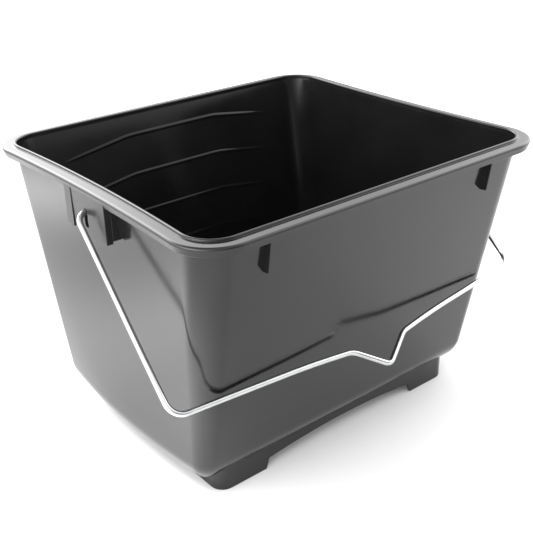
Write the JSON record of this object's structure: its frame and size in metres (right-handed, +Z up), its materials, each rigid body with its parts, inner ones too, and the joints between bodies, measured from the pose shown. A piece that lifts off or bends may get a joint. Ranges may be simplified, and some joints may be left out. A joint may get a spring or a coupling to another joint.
{
  "type": "bucket",
  "caption": "Rectangular tapered plastic bucket with a flanged rim, roll-off ridges inside the back wall, a footed base ring and a swinging wire bail with a hook notch.",
  "frame": {"origin": "centre of the footprint on the floor, under the feet", "axes": "+Z up; +X along the long front wall, from the left ear to the right ear; the front wall, which the resting bail leans against, faces -Y"},
  "size_m": [0.3682, 0.31, 0.239],
  "materials": {
    "black_plastic": "glossy black polypropylene",
    "bail_steel": "bright drawn steel wire"
  },
  "bodies": {
    "bucket": {"bucket_shell": "black_plastic", "rim_flange": "black_plastic", "base_ring": "black_plastic", "ear_left": "black_plastic", "ear_right": "black_plastic", "stacking_ribs": "black_plastic", "rolloff_ridges": "black_plastic"},
    "bail": {"bail_wire": "bail_steel"}
  },
  "joints": [
    {"name": "bail_swing", "type": "hinge", "parent": "bucket", "child": "bail", "pos_m": [0, 0, 0.2184], "axis": [-1, 0, 0], "range_deg": [0, 262]}
  ]
}
